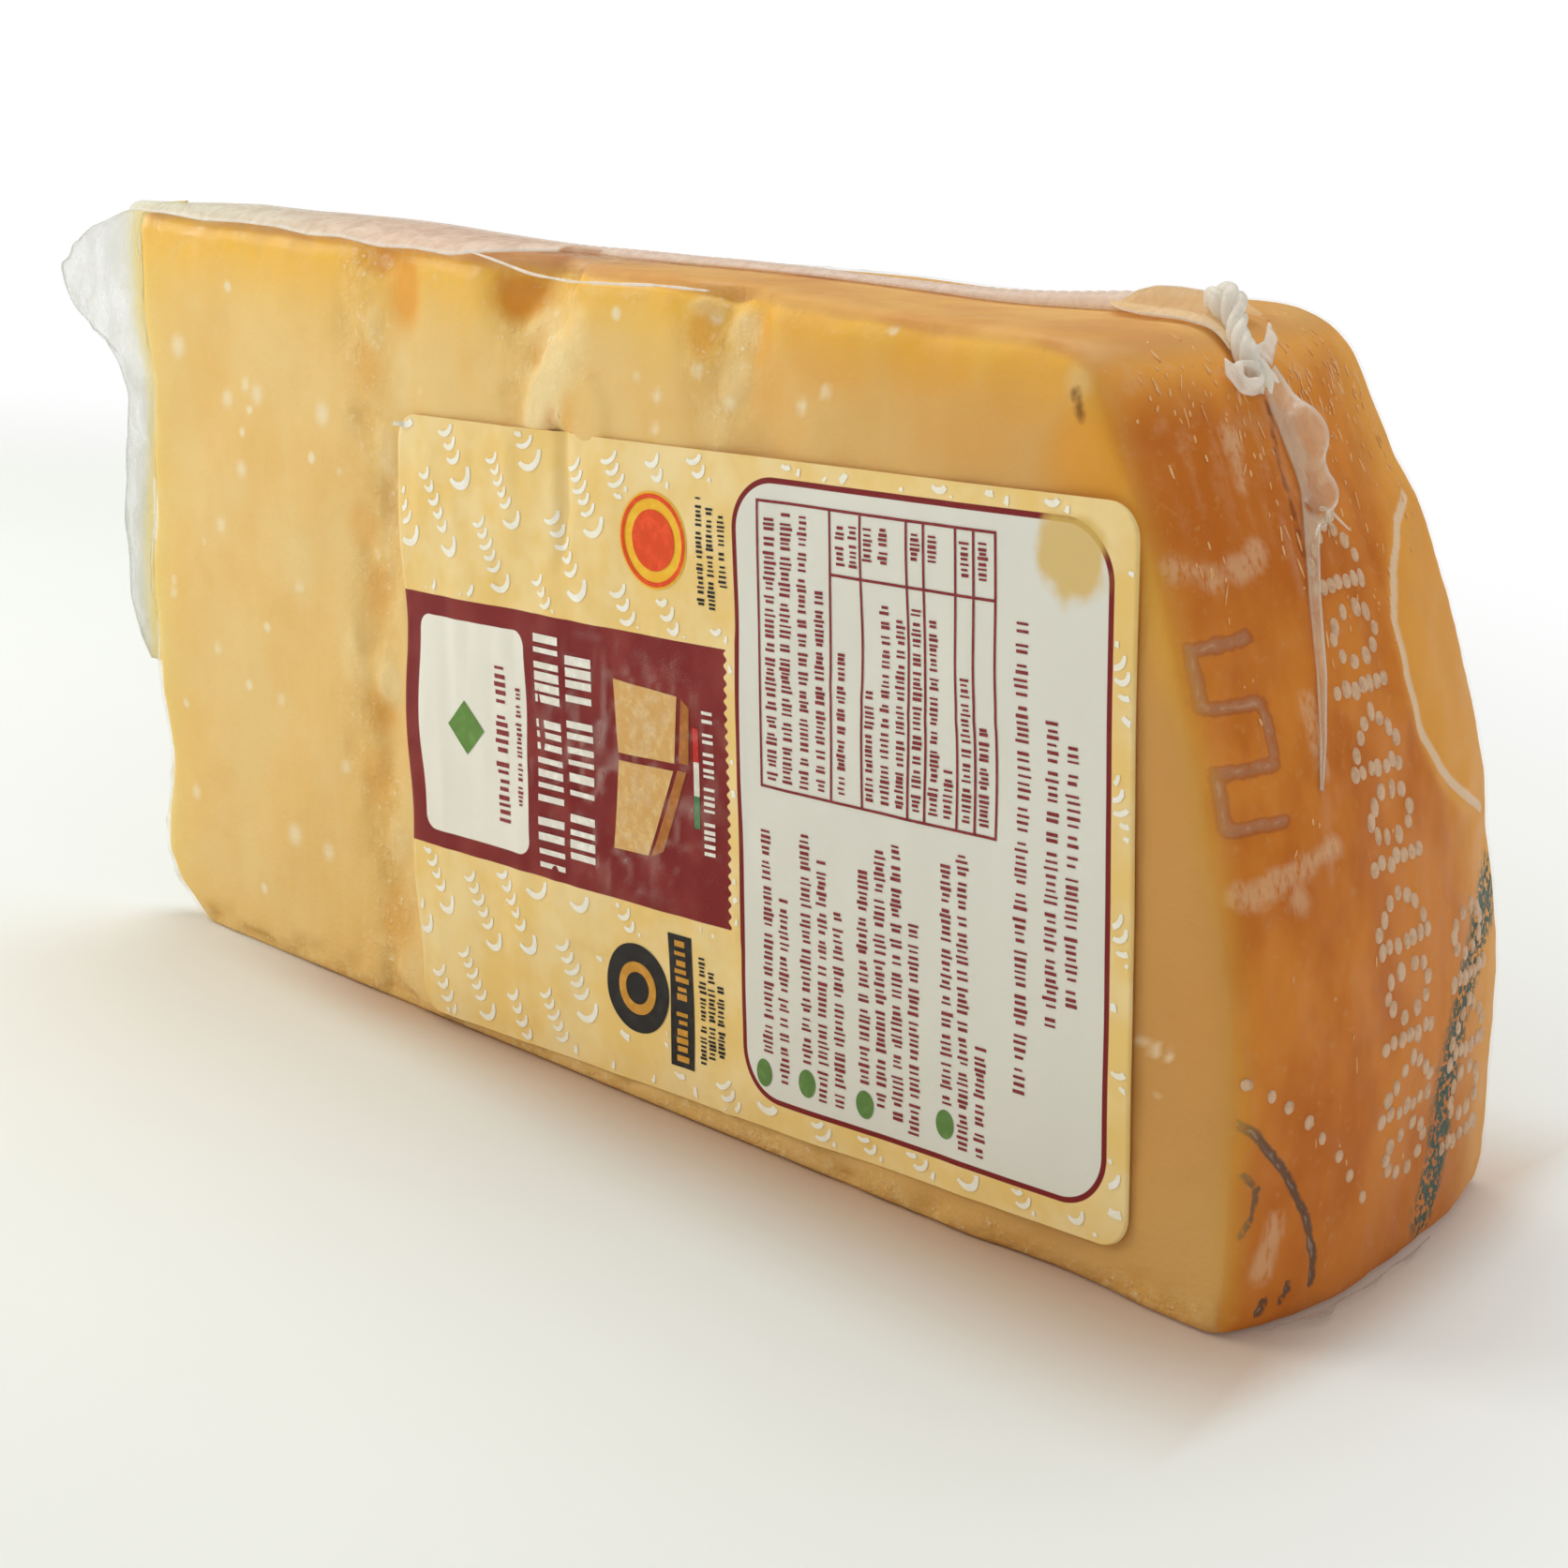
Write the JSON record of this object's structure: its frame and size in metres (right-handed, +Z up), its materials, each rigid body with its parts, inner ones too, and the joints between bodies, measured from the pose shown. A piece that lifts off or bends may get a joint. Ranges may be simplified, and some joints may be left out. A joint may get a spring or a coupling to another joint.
{
  "type": "vacuum-packed wedge of hard cheese",
  "caption": "Wedge of hard grating cheese with a bulging rind, shrunk tight in clear film with a welded edge, a paper label on one cut face; stands on its bottom cut.",
  "frame": {"origin": "centre of the bounding box at the bottom, on the surface the wedge stands on", "axes": "+X from the thin end to the rind along the labelled cut face, +Y from the labelled face to the other cut face, +Z up along the wheel's axle"},
  "size_m": [0.2342, 0.0646, 0.1119],
  "materials": {
    "cheese": "hard cheese: pale straw cut faces with an orange edge, orange-brown rind, under tight clear film",
    "label_paper": "coated paper label printed in cream, dark red and white fields",
    "film": "clear shrunk film, crumpled and milky where it is gathered"
  },
  "bodies": {
    "root": {"cheese_in_film": "cheese", "paper_label": "label_paper", "film_seam_tip": "film", "film_seam_top": "film", "film_seam_rind": "film", "film_gather": "film", "film_foot_lip": "film"}
  },
  "joints": []
}
